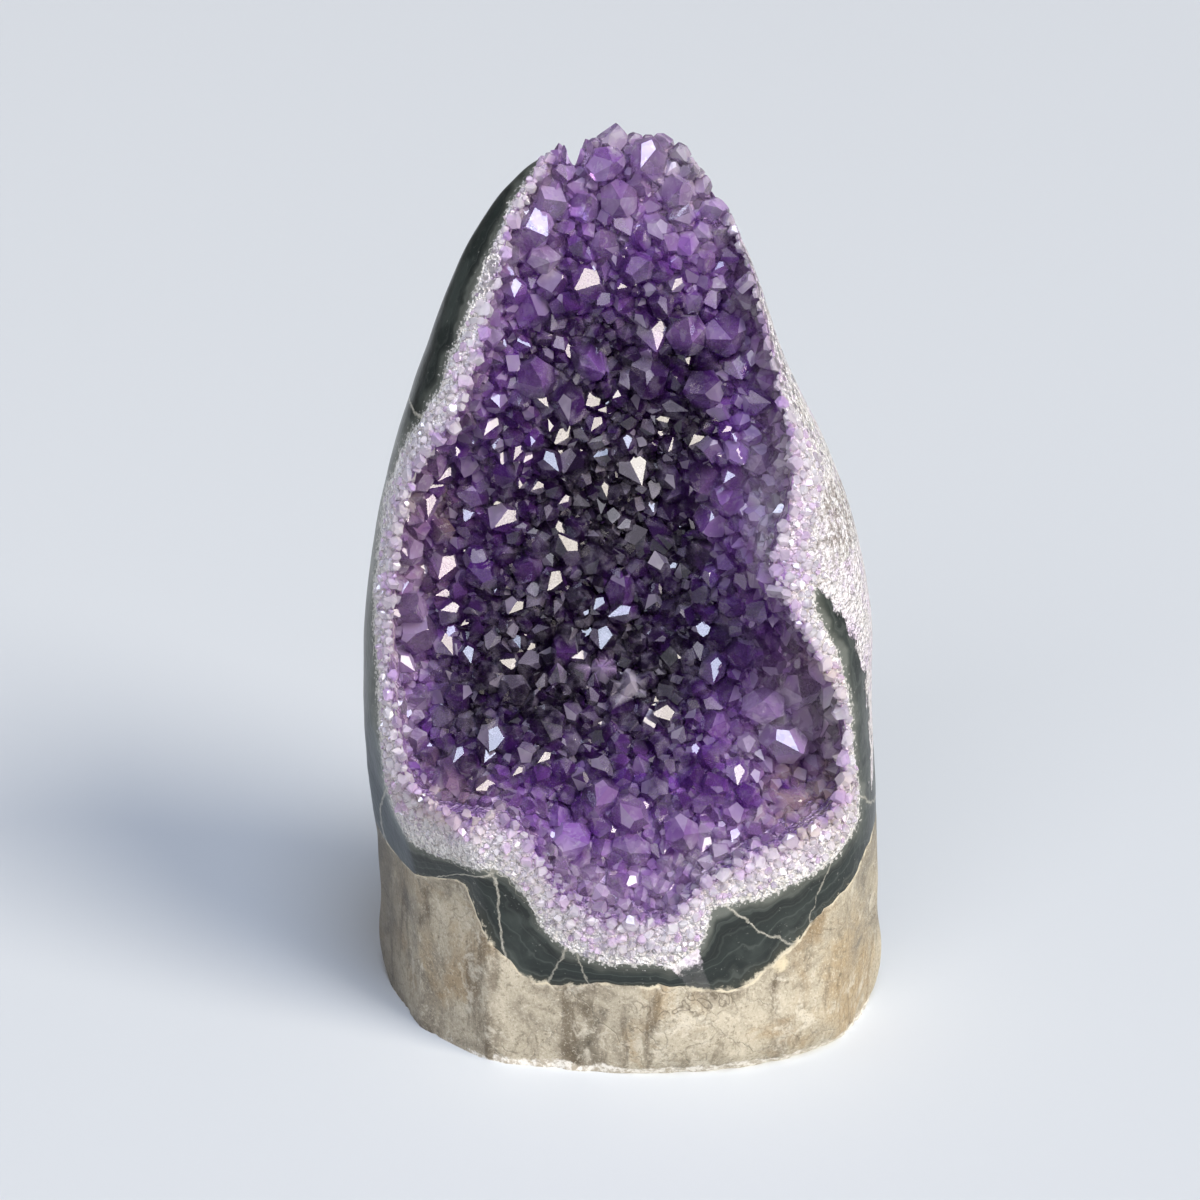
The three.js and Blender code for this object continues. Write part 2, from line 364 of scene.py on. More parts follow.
def noiseAt(points, size, seed, octaves=1):
    # smooth noise between about -1 and 1 at an array of points
    shift = Vector((seed * 17.3, seed * -9.1, seed * 5.7))
    values = np.empty(len(points))
    for i, point in enumerate(points):
        place = Vector(point) / size + shift
        values[i] = noise.fractal(place, 1.0, 2.0, octaves) if octaves > 1 else noise.noise(place)
    return values


def edgeRadius(layer, angle):
    # angle in radians
    turn = np.degrees(np.asarray(angle, float)) % 360
    return edgeAt(turn)[..., layer] + edgeWaves(layer, turn)


def makeWaves():
    # one table of fine waviness per layer, every quarter degree
    turns = np.arange(0, 1440) / 4
    tables = []
    angles = np.radians(turns)
    for layer, (coarse, small) in enumerate(hollow["waves"]):
        radius = edgeAt(turns)[..., layer]
        edge = np.stack([np.cos(angles) * radius, np.sin(angles) * radius, turns * 0], axis=1)
        tables.append(coarse * noiseAt(edge, 7.0, layer + 1) + small * noiseAt(edge, 1.8, layer + 4, 3))
    return np.array(tables)


waveTable = makeWaves()


def edgeWaves(layer, turn):
    place = (turn * 4) % 1440
    below = np.floor(place).astype(int)
    share = place - below
    return waveTable[layer][below % 1440] * (1 - share) + waveTable[layer][(below + 1) % 1440] * share


def spots(x, z, table):
    # soft round humps: x, z, half width, half height, strength
    return sum(
        strength * np.exp(-(((x - atX) / wide) ** 2) - ((z - atZ) / tall) ** 2)
        for atX, atZ, wide, tall, strength in table
    )


def thinningAt(z):
    # 1 over most of the height, running out to thin layers at the top
    return np.clip((stone["height"] + hollow["topLayer"] - z) / hollow["taperLength"], 0, 1)


def floorAt(x, z, share):
    # how far back the root surface lies, in y
    left, right, front, _, widest, deep = np.moveaxis(sectionAt(z), -1, 0)
    across = np.minimum(np.abs((x - (left + right) / 2) / ((right - left) / 2)), 1.15)
    opening = front + (widest - front) * hollow["dish"] * across**3
    power = hollow["squareness"]
    bowl = np.maximum(0, 1 - np.clip(share, 0, 1) ** power) ** (1 / power)
    return opening + bowl * (deep - spots(x, z, hollow["swells"]))


def coordsOf(bm):
    return np.array([v.co[:] for v in bm.verts])


def putCoords(bm, coords):
    for v, place in zip(bm.verts, coords):
        v.co = place


def faceOutward(bm):
    bmesh.ops.recalc_face_normals(bm, faces=bm.faces[:])
    if bm.calc_volume(signed=True) < 0:
        bmesh.ops.reverse_faces(bm, faces=bm.faces[:])
    return bm


def spread(c):
    # cosine or sine of a circle to that of the superellipse
    return np.sign(c) * np.abs(c) ** (2 / stone["roundness"])


def makeStone():
    bm = bmesh.new()
    bmesh.ops.create_cone(bm, cap_ends=True, segments=stone["sides"], radius1=1, radius2=1, depth=1)
    upright = [e for e in bm.edges if abs(e.verts[0].co.z - e.verts[1].co.z) > 0.5]
    bmesh.ops.subdivide_edges(bm, edges=upright, cuts=stone["tiers"] - 1, use_grid_fill=True)
    co = coordsOf(bm)
    climb = co[:, 2] + 0.5
    z = stone["height"] * (1 - (1 - climb) ** stone["crowding"])
    z = np.where(climb < 1e-6, 0, z)
    left, right, front, back, widest, _ = sectionAt(z).T
    angle = np.arctan2(co[:, 1], co[:, 0])
    turn = np.degrees(angle)
    along = spread(np.sin(angle))
    x = (left + right) / 2 + spread(np.cos(angle)) * (right - left) / 2
    y = widest + along * np.where(along > 0, back - widest, widest - front)
    low, high = stone["flatsFade"]
    for at, distance in stone["flats"]:
        nx, ny = math.cos(math.radians(at)), math.sin(math.radians(at))
        past = x * nx + y * ny - distance - stone["flatsRecede"] * np.clip((z - low) / (high - low), 0, 1)
        past = 0.5 * (past + np.sqrt(past**2 + 0.12))  # nearly sharp between flat and round
        past = np.where(z < high + 5, past, 0)
        x = x - nx * past
        y = y - ny * past
    surface = np.stack([x, y, z], axis=1)
    outward = np.stack([np.cos(angle), np.sin(angle), angle * 0], axis=1)
    waves = stone["grinding"] * (noiseAt(surface, 14, 2) + 0.4 * noiseAt(surface, 5, 3))
    # chips break the edge of the sawn base, most of all at the front left
    rough = noiseAt(surface * (1, 1, 0.6), stone["chipSize"], 8, 3)
    worn = np.clip(rough * 2.4, 0, 1) * np.clip(1 - z / stone["chipsUpTo"], 0, 1)
    more = 0.45 + 0.9 * np.exp(-(((turn - stone["chippedAt"]) % 360) / 26) ** 2)
    waves = waves - stone["chips"] * worn * more
    fade = np.clip((stone["height"] - z) / 6, 0, 1)
    surface += outward * (waves * fade)[:, None]
    notchAt, notchHalf, notchDeep = stone["notch"]
    notch = notchDeep * np.exp(-(((x - notchAt) / notchHalf) ** 2))
    surface[:, 2] -= notch * np.clip((z - stone["notchFrom"]) / 6, 0, 1)
    putCoords(bm, surface)
    top = [f for f in bm.faces if len(f.verts) > 4 and f.calc_center_median().z > 1]
    bmesh.ops.poke(bm, faces=top)
    return faceOutward(bm)


def makeRoom(layer, depth, rings, rough=0.0):
    # a body that fills the hollow down to a depth under the root surface and runs out through the front
    bm = bmesh.new()
    last = bmesh.ops.create_vert(bm, co=(0, 0, 0))["vert"][0]
    steps = np.sin(np.linspace(0, math.pi / 2, rings + 1)[1:])
    profile = [(s, 0) for s in steps] + [(1, 0.5), (1, 1), (0, 1)]
    for r, forward in profile:
        grown = bmesh.ops.extrude_vert_indiv(bm, verts=[last])
        last = grown["verts"][0]
        last.co = (r, 0, forward)
    bmesh.ops.spin(
        bm,
        geom=bm.verts[:] + bm.edges[:],
        cent=(0, 0, 0),
        axis=(0, 0, 1),
        angle=2 * math.pi,
        steps=hollow["sides"],
        use_merge=True,
        use_duplicate=False,
    )
    bmesh.ops.remove_doubles(bm, verts=bm.verts[:], dist=1e-5)
    co = coordsOf(bm)
    angle = np.arctan2(co[:, 1], co[:, 0])
    share = np.hypot(co[:, 0], co[:, 1])
    edge = edgeRadius(layer, angle)
    x = hollow["centre"][0] + np.cos(angle) * share * edge
    z = hollow["centre"][1] + np.sin(angle) * share * edge
    floor = floorAt(x, z, share)
    floor = floor + depth * thinningAt(z)
    if rough:
        surface = np.stack([x, floor, z], axis=1)
        floor = floor + rough * noiseAt(surface, 3.0, 5, 2) * (1 - share**6)
    y = floor * (1 - co[:, 2]) + hollow["front"] * co[:, 2]
    putCoords(bm, np.stack([x, y, z], axis=1))
    return faceOutward(bm)


def objectFrom(bm, name):
    mesh = bpy.data.meshes.new(name)
    bm.to_mesh(mesh)
    bm.free()
    piece = bpy.data.objects.new(name, mesh)
    bpy.context.scene.collection.objects.link(piece)
    return piece


def bakeModifiers(piece):
    depsgraph = bpy.context.evaluated_depsgraph_get()
    baked = bpy.data.meshes.new_from_object(piece.evaluated_get(depsgraph))
    baked.name = piece.name
    piece.modifiers.clear()
    old = piece.data
    piece.data = baked
    if not old.users:
        bpy.data.meshes.remove(old)


def combine(piece, operation, tool):
    cut = piece.modifiers.new(operation.lower(), "BOOLEAN")
    cut.operation = operation
    cut.solver = "MANIFOLD"
    if isinstance(tool, bpy.types.Collection):
        cut.operand_type = "COLLECTION"
        cut.collection = tool
    else:
        cut.object = tool
    bakeModifiers(piece)


def copyOf(piece, name):
    twin = bpy.data.objects.new(name, piece.data.copy())
    bpy.context.scene.collection.objects.link(twin)
    return twin


def crystalShape(draw, long, uneven):
    # one quartz point: a six-sided prism cut by three large and three small slanting faces
    bm = bmesh.new()
    bmesh.ops.create_cone(bm, cap_ends=True, segments=6, radius1=1, radius2=1, depth=long)
    bmesh.ops.translate(bm, verts=bm.verts, vec=(0, 0, -long / 2))  # the flat top is at z = 0 and gets cut
    slope = math.radians(draw.uniform(49, 55))
    for k in range(6):
        turn = math.radians(30 + 60 * k)
        normal = Vector((math.cos(turn) * math.sin(slope), math.sin(turn) * math.sin(slope), math.cos(slope)))
        small = k % 2
        away = draw.uniform(0.0, 0.12) + small * draw.uniform(0.0, uneven)
        point = Vector((0, 0, -0.12)) + normal * away
        made = bmesh.ops.bisect_plane(
            bm,
            geom=bm.verts[:] + bm.edges[:] + bm.faces[:],
            dist=1e-5,
            plane_co=point,
            plane_no=normal,
            clear_outer=True,
        )
        rim = [part for part in made["geom_cut"] if isinstance(part, bmesh.types.BMEdge)]
        if rim:
            bmesh.ops.contextual_create(bm, geom=rim)
    # a slightly uneven prism
    bmesh.ops.scale(bm, verts=bm.verts, vec=(1, draw.uniform(0.78, 1.0), 1))
    faceOutward(bm)
    mesh = bpy.data.meshes.new("point")
    bm.to_mesh(mesh)
    bm.free()
    return mesh


def faceTable(mesh):
    # centre, normal, area and first edge of every face
    count = len(mesh.polygons)
    starts = np.empty(count, np.int32)
    totals = np.empty(count, np.int32)
    corners = np.empty(len(mesh.loops), np.int32)
    mesh.polygons.foreach_get("loop_start", starts)
    mesh.polygons.foreach_get("loop_total", totals)
    mesh.loops.foreach_get("vertex_index", corners)
    co = meshCoords(mesh)
    centres = np.empty((count, 3))
    normals = np.empty((count, 3))
    areas = np.empty(count)
    firstEdge = np.empty((count, 2), int)
    for sides in np.unique(totals):
        which = np.flatnonzero(totals == sides)
        rings = corners[starts[which][:, None] + np.arange(sides)]
        lowest = rings.argmin(axis=1)[:, None]
        rings = np.take_along_axis(rings, (lowest + np.arange(sides)) % sides, axis=1)
        around = co[rings]
        middle = around.mean(axis=1)
        spokes = around - middle[:, None]
        turned = np.cross(spokes, np.roll(spokes, -1, axis=1)).sum(axis=1)
        length = np.linalg.norm(turned, axis=1)
        centres[which] = middle
        normals[which] = turned / np.maximum(length, 1e-12)[:, None]
        areas[which] = length / 2
        firstEdge[which] = rings[:, :2]
    return centres, normals, areas, firstEdge


def inOrder(table):
    # the same order in each run: the operators number faces as they come, but vertices always alike
    centres, normals, areas, firstEdge = table
    order = np.lexsort((firstEdge[:, 1], firstEdge[:, 0]))
    return centres[order], normals[order], areas[order]


def acrossRim(places):
    # share of the way from the hollow's centre to the crystals' edge, and of the way across the quartz band
    offset = places[:, [0, 2]] - hollow["centre"]
    angle = np.arctan2(offset[:, 1], offset[:, 0])
    r = np.hypot(*offset.T)
    inner = edgeRadius(crystalEdge, angle)
    outer = edgeRadius(quartzEdge, angle)
    return r / inner, (r - inner) / (outer - inner)


def paleness(co):
    # 1 in the agate past the dark stripe that is pale quartz again, -1 in the dark, in between along its edge
    offset = co[:, [0, 2]] - hollow["centre"]
    turn = np.degrees(np.arctan2(offset[:, 1], offset[:, 0]))
    past = (np.hypot(*offset.T) - stripeAt(turn)[:, 0]) / 1.6
    ahead = (patchBackAt(co[:, 2])[:, 0] - co[:, 1]) / 2.5
    rightSide = np.minimum((turn + 48) / 5, (85 - turn) / 8)
    return np.clip(np.minimum(np.minimum(past, ahead), rightSide), -1, 1)


def choosePlaces(places, weights, sizes, picker, allowed, standing):
    # large crystals first, then smaller ones in the room between: [(index, half width)]
    taken, widths = standing
    chosen = []
    for radius, most, spacing in sizes:
        number = min(druse["mostTries"], np.count_nonzero(weights))
        tries = picker.choice(len(places), size=number, replace=False, p=weights / weights.sum())
        tries = tries[allowed(tries, radius)]
        own = radius * picker.uniform(0.8, 1.2, len(tries))
        free = np.ones(len(tries), bool)
        for at, width in zip(taken, widths):
            free &= np.linalg.norm(places[tries] - at, axis=1) > (own + width) * spacing
        made = []
        while free.any() and len(made) < most:
            i = int(np.argmax(free))
            made.append(i)
            free &= np.linalg.norm(places[tries] - places[tries[i]], axis=1) > (own + own[i]) * spacing
        taken = np.concatenate([taken, places[tries[made]]])
        widths = np.concatenate([widths, own[made]])
        chosen += [(int(tries[i]), float(own[i])) for i in made]
        print("half width", radius, "crystals", len(made))
    return chosen


def growDruse(seedPiece, room, quartz):
    draw = random.Random(druse["seed"] + 1)
    picker = np.random.default_rng(druse["seed"])
    kinds = [druse["uneven"][k % 3] for k in range(druse["shapes"])]
    shapes = [crystalShape(draw, druse["long"], uneven) for uneven in kinds]
    shortShapes = [crystalShape(draw, druse["short"], uneven) for uneven in kinds]
    slants = {
        shape: [face.normal.copy() for face in shape.polygons if face.normal.z > 0.3 and face.area > 0.2]
        for shape in shapes + shortShapes
    }
    points = bpy.data.collections.new("points")
    bpy.context.scene.collection.children.link(points)
    grown = []

    def pose(normal, lean):
        tilt = Vector((draw.gauss(0, 1), draw.gauss(0, 1), draw.gauss(0, 1))) * lean
        if tilt.length > druse["mostLean"]:
            tilt *= druse["mostLean"] / tilt.length
        axis = (Vector(normal).normalized() + tilt).normalized()
        turn = axis.to_track_quat("Z", "Y").to_matrix() @ Matrix.Rotation(draw.uniform(0, math.tau), 3, "Z")
        return axis, turn

    def brightness(turn, shape, glint):
        return max((turn @ slant).dot(glint) for slant in slants[shape])

    def grow(place, normal, radius, stand, share, lean, shade=None):
        short = share > 1 or place[2] > druse["shortAbove"]
        stock = shortShapes if short else shapes
        turned = share < 1 and radius > druse["turnedFrom"] and draw.random() < druse["turned"] * radius / 2
        shape = draw.choice(stock[::3] if turned else stock)
        axis, turn = pose(normal, lean)
        if turned:
            glint = glints[draw.random() < druse["toWindow"]]
            tries = [pose(normal, lean) for _ in range(druse["turnTries"])]
            axis, turn = max(tries, key=lambda made: brightness(made[1], shape, glint))
        tall = radius * (draw.uniform(*stand) + 0.9 + 0.3 * turned)
        root = Vector(place)
        crystal = bpy.data.objects.new("point", shape)
        tip = Matrix.Translation(root + axis * tall)
        crystal.matrix_world = tip @ turn.to_4x4() @ Matrix.Scale(radius, 4)
        points.objects.link(crystal)
        grown.append({
            "middle": root + axis * tall * 0.6,
            "root": root,
            "axis": axis,
            "tall": tall,
            "radius": radius,
            "share": share,
            "luck": draw.random(),
            "tone": draw.random(),
            "shade": shade,
        })

    centres, normals, areas = inOrder(faceTable(room.data))
    share, _ = acrossRim(centres)
    onFloor = (share < druse["floorEnd"]) & (centres[:, 2] < druse["highest"])
    onFloor &= centres[:, 1] > hollow["front"] * 0.75
    steep = np.clip((share - 0.55) / 0.4, 0, 1)
    axes = -normals  # the room's faces look out of it
    axes[:, 1] -= druse["forward"] * steep
    low, high = druse["stand"]

    first, widths = [], []
    for x, z, halfWide, halfTall, count, radius, shade in druse["groups"]:
        away = ((centres[:, 0] - x) / halfWide) ** 2 + ((centres[:, 2] - z) / halfTall) ** 2
        near = onFloor & (away < 1)
        for _ in range(count):
            for i, width in zip(first, widths):
                near &= np.linalg.norm(centres - centres[i], axis=1) > (radius + width) * 0.7
            if not near.any():
                break
            i = int(picker.choice(np.flatnonzero(near)))
            own = radius * draw.uniform(0.85, 1.1)
            grow(centres[i], axes[i], own, (0.6, 1.0), share[i], druse["lean"] * 0.6, shade)
            first.append(i)
            widths.append(radius)
    standing = (centres[first], np.array(widths) * 0.75)

    def onTheFloor(tries, radius):
        return share[tries] < (druse["largeEnd"] if radius > 3 else druse["floorEnd"])

    for i, radius in choosePlaces(centres, areas * onFloor, druse["sizes"], picker, onTheFloor, standing):
        reach = (low * (1 - 0.6 * steep[i]), high * (1 - 0.35 * steep[i]))
        grow(centres[i], axes[i], radius, reach, share[i], druse["lean"])

    centres, normals, areas = inOrder(faceTable(quartz.data))
    share, across = acrossRim(centres)
    reach = np.hypot(*(centres[:, [0, 2]] - hollow["centre"]).T) * (1 - 1 / share)
    far = np.maximum(across / druse["rimReach"], reach / druse["rimWidth"])  # 1 where the fine points end
    outside = (across > -0.02) & (far < 1) & (normals[:, 1] < -0.05)
    thinning = np.clip(1.25 - far, 0, 1)

    def onTheBand(tries, radius):
        return far[tries] < 1 - 0.5 * (radius > 1.2) - 0.17 * (radius > 0.9)

    standing = (np.empty((0, 3)), np.empty(0))
    weights = areas * outside * thinning
    for i, radius in choosePlaces(centres, weights, druse["rimSizes"], picker, onTheBand, standing):
        axis = Vector(normals[i])
        axis.y -= 1.4 * (1 - abs(axis.y))
        grow(centres[i], axis, radius, druse["rimStand"], 1 + max(0, across[i]), druse["rimLean"])

    combine(seedPiece, "UNION", points)
    for crystal in list(points.objects):
        bpy.data.objects.remove(crystal)
    bpy.data.collections.remove(points)
    for shape in shapes + shortShapes:
        bpy.data.meshes.remove(shape)
    return grown


def cutToGround(points, body):
    # the ground surface cuts the crystals, except at the very top
    ground = copyOf(body, "ground")
    coords = meshCoords(ground.data)
    lift = np.clip((coords[:, 2] - druse["overTopFrom"]) / 14, 0, 1)
    lift *= np.clip((10 - coords[:, 1]) / 4, 0, 1)
    lift *= druse["overTop"]
    notchAt, notchHalf, _ = stone["notch"]
    lift *= 1 - 0.95 * np.exp(-(((coords[:, 0] - notchAt) / (1.4 * notchHalf)) ** 2))
    coords[:, 1] -= lift * 0.5
    coords[:, 2] += lift * 0.9
    # the fine points on the rim stand a little past the ground surface at the front
    forward = np.clip((-5 - coords[:, 1]) / 5, 0, 1)
    # and behind the widest line all of them stay inside the quartz
    behind = np.clip((coords[:, 1] - 6) / 4, 0, 1) * np.clip((156 - coords[:, 2]) / 6, 0, 1)
    past = forward * druse["pastGround"] - behind * druse["underWall"]
    coords += vertexNormals(ground.data) * past[:, None]
    ground.data.vertices.foreach_set("co", coords.ravel())
    combine(points, "INTERSECT", ground)
    bpy.data.objects.remove(ground)


def meshCoords(mesh):
    co = np.empty(len(mesh.vertices) * 3)
    mesh.vertices.foreach_get("co", co)
    return co.reshape(-1, 3)


def vertexNormals(mesh):
    normals = np.empty(len(mesh.vertices) * 3)
    mesh.vertices.foreach_get("normal", normals)
    return normals.reshape(-1, 3)


def setValues(mesh, name, values):
    layer = mesh.attributes.new(name, "FLOAT", "POINT")
    layer.data.foreach_set("value", np.asarray(values, np.float32))


def setColors(mesh, name, values):
    layer = mesh.attributes.new(name, "FLOAT_COLOR", "POINT")
    opaque = np.concatenate([values, np.ones((len(values), 1))], axis=1)
    layer.data.foreach_set("color", opaque.astype(np.float32).ravel())


def linear(color):
    # sRGB hex to linear rgb
    parts = [int(color[i : i + 2], 16) / 255 for i in (1, 3, 5)]
    return tuple(c / 12.92 if c <= 0.04045 else ((c + 0.055) / 1.055) ** 2.4 for c in parts)


def rgba(color):
    return (*linear(color), 1)


def newMaterial(name):
    material = bpy.data.materials.new(name)
    material.use_nodes = True
    tree = material.node_tree
    return material, tree, tree.nodes["Principled BSDF"]


def add(tree, kind, inputs=None, **settings):
    # one node; inputs are values or sockets by name or number
    node = tree.nodes.new("ShaderNode" + kind)
    for key, value in settings.items():
        setattr(node, key, value)
    for key, value in (inputs or {}).items():
        if isinstance(value, bpy.types.NodeSocket):
            tree.links.new(value, node.inputs[key])
        else:
            node.inputs[key].default_value = value
    return node


def ramp(tree, fac, stops):
    node = add(tree, "ValToRGB", {0: fac})
    band = node.color_ramp
    while len(band.elements) < len(stops):
        band.elements.new(0.5)
    for element, (place, color) in zip(band.elements, stops):
        element.position = place
        element.color = rgba(color) if isinstance(color, str) else (color, color, color, 1)
    return node.outputs[0]


def mixColors(tree, fac, a, b, blend="MIX"):
    node = add(tree, "Mix", data_type="RGBA", blend_type=blend)
    for key, value in ((0, fac), (6, a), (7, b)):
        if isinstance(value, bpy.types.NodeSocket):
            tree.links.new(value, node.inputs[key])
        else:
            node.inputs[key].default_value = rgba(value) if isinstance(value, str) else value
    return node.outputs[2]


def noiseNode(tree, vector, size, detail, roughness=0.5, distortion=0.0):
    inputs = {
        "Vector": vector,
        "Scale": 1 / (size * unit),
        "Detail": detail,
        "Roughness": roughness,
        "Distortion": distortion,
    }
    return add(tree, "TexNoise", inputs).outputs["Fac"]


def step(tree, value, low, high):
    # 0 up to low, 1 from high on, smooth in between
    inputs = {0: value, 1: low, 2: high, 3: 0.0, 4: 1.0}
    return add(tree, "MapRange", inputs, interpolation_type="SMOOTHSTEP").outputs[0]


def maths(tree, operation, a, b=0.0):
    return add(tree, "Math", {0: a, 1: b}, operation=operation).outputs[0]


def times(tree, a, b):
    return maths(tree, "MULTIPLY", a, b)


def plus(tree, a, b):
    return maths(tree, "ADD", a, b)


def minus(tree, a, b):
    return maths(tree, "SUBTRACT", a, b)


def stain(tree, body, where, share, color):
    # a colour laid over the body where a mask is 1, covering the given share of it
    return mixColors(tree, maths(tree, "MULTIPLY", where, share), body, color)


def shifted(tree, noise, strength):
    # noise turned into a push of up to half the strength either way
    return times(tree, minus(tree, noise, 0.5), strength)


def stretched(tree, where, scale):
    return add(tree, "Mapping", {"Vector": where, "Scale": scale}).outputs[0]


def attribute(tree, name, output="Fac"):
    return add(tree, "Attribute", attribute_name=name).outputs[output]


def coordinates(tree):
    return add(tree, "TexCoord").outputs["Object"]


def bump(tree, shader, height, distance, strength):
    made = add(tree, "Bump", {"Height": height, "Distance": distance * unit, "Strength": strength})
    tree.links.new(made.outputs[0], shader.inputs["Normal"])


def amethystMaterial():
    # clear purple quartz: mirror-bright natural faces, colour that gathers in the tips
    material, tree, shader = newMaterial("amethyst")
    where = coordinates(tree)
    cloud = noiseNode(tree, where, 2.6, 2.0)
    tint = attribute(tree, "tint", "Color")
    milky = mixColors(tree, 0.22, tint, "#e9dcf2")
    clouded = mixColors(tree, step(tree, cloud, 0.45, 0.7), tint, milky)
    # white veils and darker zones inside the pale ones
    flaws = noiseNode(tree, where, 1.6, 5.0, 0.7, 0.6)
    zones = noiseNode(tree, where, 3.0, 3.0, 0.6, 0.8)
    veils = attribute(tree, "veils")
    clouded = stain(tree, clouded, veils, step(tree, zones, 0.5, 0.62), "#6d4a8c")
    clouded = stain(tree, clouded, veils, step(tree, flaws, 0.53, 0.6), "#fbf6fb")
    # every face of a crystal its own brightness as painted shade, and the brightest a painted pale reflection
    faceLightAndShade = attribute(tree, "faceLightAndShade")
    faceShading = ramp(tree, faceLightAndShade, [(0.0, 0.35), (0.3, 0.68), (0.5, 1.0), (1.0, 1.0)])
    clouded = mixColors(tree, 0.85, clouded, faceShading, "MULTIPLY")
    # a painted pale reflection on the brightest faces
    clouded = stain(tree, clouded, step(tree, faceLightAndShade, 0.72, 1.0), 0.4, "#e9def2")
    tree.links.new(clouded, shader.inputs["Base Color"])
    shader.inputs["Roughness"].default_value = 0.03
    shader.inputs["IOR"].default_value = 1.54
    shader.inputs["Transmission Weight"].default_value = 0.6
    inside = add(tree, "VolumeAbsorption", {"Color": rgba("#b493d0"), "Density": 70.0})
    tree.links.new(inside.outputs[0], tree.nodes["Material Output"].inputs["Volume"])
    return material


def granularQuartz(tree, where, depth):
    # colour and height of grown-together quartz grains, lilac at depth 0 and white further out, with painted
    # shade on the grains and in the gaps between them
    grains = add(tree, "TexVoronoi", {"Vector": where, "Scale": 1 / (1.1 * unit)})
    fineGrains = add(tree, "TexVoronoi", {"Vector": where, "Scale": 1 / (0.5 * unit)})
    lilac = [(0.0, "#8e6ba5"), (0.1, "#c4a8cc"), (0.24, "#eaddea")]
    white = [(0.45, "#f6f0f1"), (0.95, "#f5f2ec"), (1.0, "#dcdbd4")]
    body = ramp(tree, depth, lilac + white)
    # every grain a different darkness, partly its own tone and partly painted shade
    shade = ramp(tree, grains.outputs["Color"], [(0.0, 0.5), (0.2, 0.86), (0.4, 1.0), (1.0, 1.0)])
    body = mixColors(tree, 0.7, body, shade, "MULTIPLY")
    # dark gaps between the grains, painted shade
    gapShade = step(tree, noiseNode(tree, where, 0.9, 4.0, 0.65), 0.52, 0.64)
    body = stain(tree, body, gapShade, 0.6, "#6a6066")
    clouds = noiseNode(tree, where, 3.2, 5.0, 0.6)
    body = stain(tree, body, step(tree, clouds, 0.53, 0.66), 0.45, "#b39cc0")
    body = stain(tree, body, step(tree, clouds, 0.46, 0.33), 0.5, "#b9ada6")
    height = plus(tree, grains.outputs["Distance"], times(tree, fineGrains.outputs["Distance"], 0.6))
    return body, height


def quartzMaterial():
    # granular white quartz, ground but not smooth, so that its grains sparkle; lilac where the crystals start
    material, tree, shader = newMaterial("granular quartz")
    where = coordinates(tree)
    across = attribute(tree, "across")
    clouds = noiseNode(tree, where, 4.5, 4.0)
    depth = plus(tree, across, shifted(tree, clouds, 0.9))
    body, height = granularQuartz(tree, where, depth)
    specks = step(tree, noiseNode(tree, where, 1.5, 4.0, 0.7), 0.46, 0.58)
    dirty = step(tree, attribute(tree, "rust"), 0.1, 0.7)
    body = stain(tree, body, dirty, times(tree, specks, 0.75), "#83766a")
    # under the crystals the quartz takes the druse's tones, with their painted shade and painted light
    body = mixColors(tree, attribute(tree, "inside"), body, attribute(tree, "roots", "Color"))
    tree.links.new(body, shader.inputs["Base Color"])
    shader.inputs["Roughness"].default_value = 0.2
    shader.inputs["IOR"].default_value = 1.54
    bump(tree, shader, height, 1.1, 1.0)
    return material


